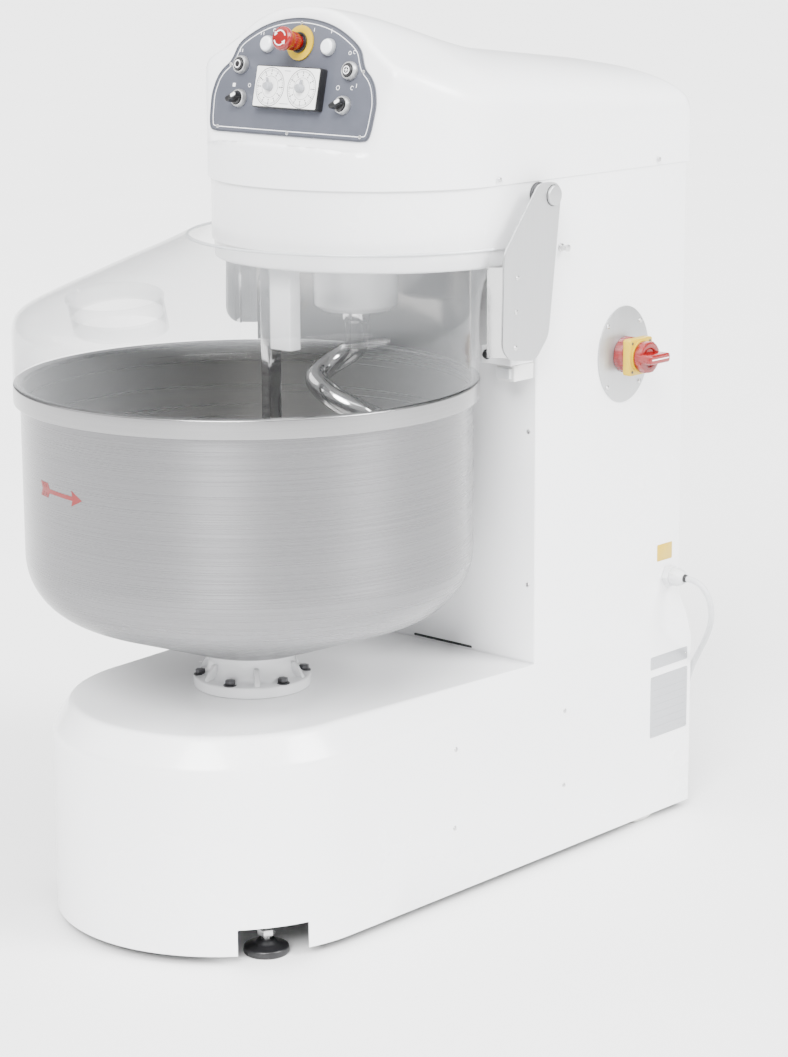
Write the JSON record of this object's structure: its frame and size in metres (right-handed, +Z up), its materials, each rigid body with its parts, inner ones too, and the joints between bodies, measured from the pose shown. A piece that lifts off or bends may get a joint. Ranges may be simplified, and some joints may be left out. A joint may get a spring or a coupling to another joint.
{
  "type": "spiral dough mixer",
  "caption": "Floor-standing spiral dough mixer with a turning bowl, spiral arm, fixed breaker bar, hinged clear lid and a column with head, controls and main switch.",
  "frame": {"origin": "on the floor under the middle of the machine's outer box", "axes": "+Z up, +X to the machine's right as seen by the operator, who stands at -Y"},
  "size_m": [0.77, 1.4136, 1.4993],
  "materials": {
    "white_paint": "gloss",
    "stainless": "brushed",
    "polished_steel": "polished",
    "satin_steel": "satin",
    "inner_steel": "matt",
    "clear_plastic": "clear",
    "panel_grey": "satin",
    "red_plastic": "gloss",
    "dark_red_plastic": "gloss",
    "yellow_plastic": "satin",
    "white_plastic": "satin",
    "grey_plastic": "satin",
    "black_plastic": "satin",
    "nylon": "satin",
    "belt_rubber": "matt",
    "cable_grey": "matt",
    "motor_grey": "painted"
  },
  "bodies": {
    "root": {"base_shell": "white_paint", "column_shell": "white_paint", "column_front_cover": "white_paint", "rear_cover": "white_paint", "head_shell": "white_paint", "hood": "white_paint", "pedestal": "white_paint", "breaker_post": "white_paint", "spiral_housing": "white_paint", "lid_switch_bracket": "white_paint", "rear_guard": "stainless", "lid_bush_left": "stainless", "lid_bush_right": "stainless", "breaker_bar": "polished_steel", "switch_plate": "satin_steel", "base_frame": "inner_steel", "column_frame": "inner_steel", "bowl_motor": "motor_grey", "spiral_motor": "motor_grey", "bowl_belt": "belt_rubber", "spiral_belt": "belt_rubber", "control_panel": "panel_grey", "timer_box": "white_plastic", "lamp_left": "white_plastic", "lamp_right": "white_plastic", "button_bezel_left": "grey_plastic", "button_bezel_right": "grey_plastic", "selector_bezel_left": "grey_plastic", "selector_bezel_right": "grey_plastic", "cable_gland": "grey_plastic", "electrical_box": "grey_plastic", "estop_collar": "yellow_plastic", "switch_escutcheon": "yellow_plastic", "switch_housing": "dark_red_plastic", "power_plug": "red_plastic", "power_cord": "cable_grey", "cord_coil": "cable_grey"},
    "bowl": {"bowl": "stainless", "bowl_shaft": "stainless", "bowl_pulley": "inner_steel"},
    "bowl_motor_pulley": {"bowl_motor_pulley": "inner_steel"},
    "spiral": {"spiral_arm": "polished_steel", "spiral_pulley": "inner_steel"},
    "spiral_motor_pulley": {"spiral_motor_pulley": "inner_steel"},
    "lid": {"lid_cover": "clear_plastic", "lid_arm_left": "satin_steel", "lid_arm_right": "satin_steel"},
    "estop": {"estop_button": "red_plastic"},
    "switch_handle": {"switch_handle": "red_plastic"},
    "push_button_left": {"push_button_left": "black_plastic"},
    "selector_left": {"selector_left": "black_plastic"},
    "timer_knob_left": {"timer_knob_left": "grey_plastic"},
    "rear_wheel_left": {"rear_wheel_left": "nylon"},
    "front_foot_left": {"front_foot_left": "black_plastic"},
    "push_button_right": {"push_button_right": "black_plastic"},
    "selector_right": {"selector_right": "black_plastic"},
    "timer_knob_right": {"timer_knob_right": "grey_plastic"},
    "rear_wheel_right": {"rear_wheel_right": "nylon"},
    "front_foot_right": {"front_foot_right": "black_plastic"}
  },
  "joints": [
    {"name": "bowl_spin", "type": "hinge", "parent": "root", "child": "bowl", "pos_m": [0, -0.24, 0.3], "axis": [0, 0, 1], "continuous": true},
    {"name": "bowl_motor_spin", "type": "hinge", "parent": "root", "child": "bowl_motor_pulley", "pos_m": [0, 0.04, 0.2], "axis": [0, 0, 1], "continuous": true},
    {"name": "spiral_spin", "type": "hinge", "parent": "root", "child": "spiral", "pos_m": [0, 0.026, 1], "axis": [0, 0, 1], "continuous": true},
    {"name": "spiral_motor_spin", "type": "hinge", "parent": "root", "child": "spiral_motor_pulley", "pos_m": [0, 0.39, 1.25], "axis": [0, 0, 1], "continuous": true},
    {"name": "lid_hinge", "type": "hinge", "parent": "root", "child": "lid", "pos_m": [0, 0.1605, 1.19], "axis": [-1, 0, 0], "range_deg": [0, 42]},
    {"name": "estop_press", "type": "slide", "parent": "root", "child": "estop", "axis": [0, 0.9763, -0.2164], "range_m": [0, 0.005]},
    {"name": "main_switch_turn", "type": "hinge", "parent": "root", "child": "switch_handle", "pos_m": [0.35, 0.402, 0.889], "axis": [1, 0, 0], "range_deg": [0, 90]},
    {"name": "push_button_left_press", "type": "slide", "parent": "root", "child": "push_button_left", "axis": [0, 0.9763, -0.2164], "range_m": [0, 0.003], "stiffness_N_per_m": 400, "springref_m": -0.002},
    {"name": "selector_left_turn", "type": "hinge", "parent": "root", "child": "selector_left", "pos_m": [-0.1185, -0.13712, 1.34776], "axis": [0, -0.9763, 0.2164], "range_deg": [-60, 0]},
    {"name": "timer_left_turn", "type": "hinge", "parent": "root", "child": "timer_knob_left", "pos_m": [-0.036, -0.14625, 1.37129], "axis": [0, -0.9763, 0.2164], "range_deg": [-300, 0]},
    {"name": "rear_wheel_left_roll", "type": "hinge", "parent": "root", "child": "rear_wheel_left", "pos_m": [-0.259, 0.498, 0.078], "axis": [1, 0, 0], "continuous": true},
    {"name": "front_foot_left_level", "type": "slide", "parent": "root", "child": "front_foot_left", "axis": [0, 0, -1], "range_m": [0, 0.02]},
    {"name": "push_button_right_press", "type": "slide", "parent": "root", "child": "push_button_right", "axis": [0, 0.9763, -0.2164], "range_m": [0, 0.003], "stiffness_N_per_m": 400, "springref_m": -0.002},
    {"name": "selector_right_turn", "type": "hinge", "parent": "root", "child": "selector_right", "pos_m": [0.1185, -0.13712, 1.34776], "axis": [0, -0.9763, 0.2164], "range_deg": [-60, 0]},
    {"name": "timer_right_turn", "type": "hinge", "parent": "root", "child": "timer_knob_right", "pos_m": [0.036, -0.14625, 1.37129], "axis": [0, -0.9763, 0.2164], "range_deg": [-300, 0]},
    {"name": "rear_wheel_right_roll", "type": "hinge", "parent": "root", "child": "rear_wheel_right", "pos_m": [0.259, 0.498, 0.078], "axis": [1, 0, 0], "continuous": true},
    {"name": "front_foot_right_level", "type": "slide", "parent": "root", "child": "front_foot_right", "axis": [0, 0, -1], "range_m": [0, 0.02]}
  ],
  "couplings": [
    {"joint": "bowl_motor_spin", "follows": "bowl_spin", "ratio": 3.25},
    {"joint": "spiral_motor_spin", "follows": "spiral_spin", "ratio": 3.3333}
  ]
}
